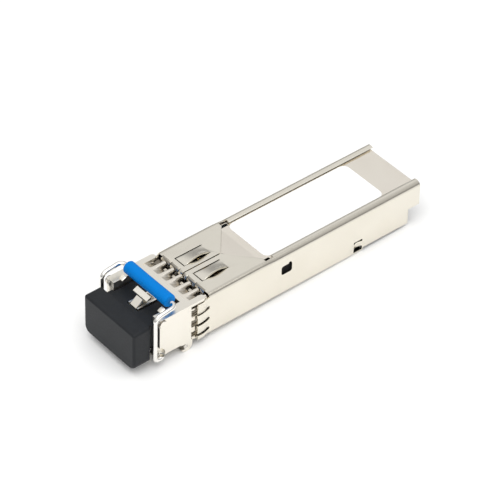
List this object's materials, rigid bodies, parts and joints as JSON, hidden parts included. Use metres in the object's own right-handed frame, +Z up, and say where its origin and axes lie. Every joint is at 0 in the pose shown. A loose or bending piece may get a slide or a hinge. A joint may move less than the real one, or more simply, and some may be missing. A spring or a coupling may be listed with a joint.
{
  "type": "optical transceiver module",
  "caption": "Pluggable fibre-optic transceiver with a sheet-metal shell, duplex optical ports, a wire bail latch with a coloured sleeve and a pull-out dust plug.",
  "frame": {"origin": "under the middle of the whole object, at the height of its lowest point, the latch pin's ears", "axes": "+Y from the nose to the rear (host connector) end along the module, +Z up from the bottom face to the top cover, +X across its width"},
  "size_m": [0.0146, 0.0608, 0.0121],
  "materials": {
    "nickel_shell": "bright nickel plating on thin sheet steel",
    "nickel_casting": "nickel-plated zinc die casting, smooth satin",
    "nickel_inner": "nickel-plated sheet, greyer",
    "wire_steel": "drawn steel wire, nickel plated",
    "spring_steel": "plain stainless spring steel",
    "white_label": "matt white film",
    "board_green": "solder-masked glass epoxy",
    "contact_gold": "gold-plated contact pads",
    "chip_black": "moulded epoxy chip package",
    "chip_tan": "ceramic chip parts",
    "ferrite_grey": "ferrite",
    "osa_steel": "turned stainless steel",
    "can_gold": "gold-plated can and header",
    "zirconia": "ground zirconia",
    "flex_amber": "polyimide flexible circuit",
    "pad_blue": "soft thermal gap pad",
    "sleeve_blue": "blue moulded polymer, satin",
    "tray_black": "black moulded polymer, satin",
    "plug_black": "black moulded polymer, fine matt"
  },
  "bodies": {
    "module": {"outer_shell": "nickel_shell", "top_cover": "nickel_inner", "label": "white_label", "front_housing": "nickel_casting", "emi_collar": "nickel_inner", "base_tray": "tray_black", "circuit_board": "board_green", "edge_contacts": "contact_gold", "laser_driver": "chip_black", "limiting_amplifier": "chip_black", "microcontroller": "chip_black", "memory_chip": "chip_black", "chip_passives": "chip_tan", "ferrite_beads": "ferrite_grey", "tosa_barrel": "osa_steel", "tosa_can": "can_gold", "tosa_sleeve": "zirconia", "tosa_flex": "flex_amber", "rosa_barrel": "osa_steel", "rosa_can": "can_gold", "rosa_sleeve": "zirconia", "rosa_flex": "flex_amber", "optics_clamp": "spring_steel", "shield_wall": "spring_steel", "thermal_pad": "pad_blue", "latch_pin": "spring_steel", "latch_spring": "spring_steel"},
    "bail": {"bail_wire": "wire_steel", "bail_sleeve": "sleeve_blue", "release_cam": "wire_steel"},
    "lever": {"latch_lever": "nickel_casting"},
    "plug": {"dust_plug": "plug_black"}
  },
  "joints": [
    {"name": "bail_hinge", "type": "hinge", "parent": "module", "child": "bail", "pos_m": [0, -0.02565, 0.00235], "axis": [1, 0, 0], "range_deg": [0, 95]},
    {"name": "lever_hinge", "type": "hinge", "parent": "module", "child": "lever", "pos_m": [0, -0.02, 0.00105], "axis": [1, 0, 0], "range_deg": [0, 5.7]},
    {"name": "plug_slide", "type": "slide", "parent": "module", "child": "plug", "axis": [0, -1, 0], "range_m": [0, 0.018]}
  ],
  "couplings": [
    {"joint": "lever_hinge", "follows": "bail_hinge", "ratio": 0.058947}
  ]
}
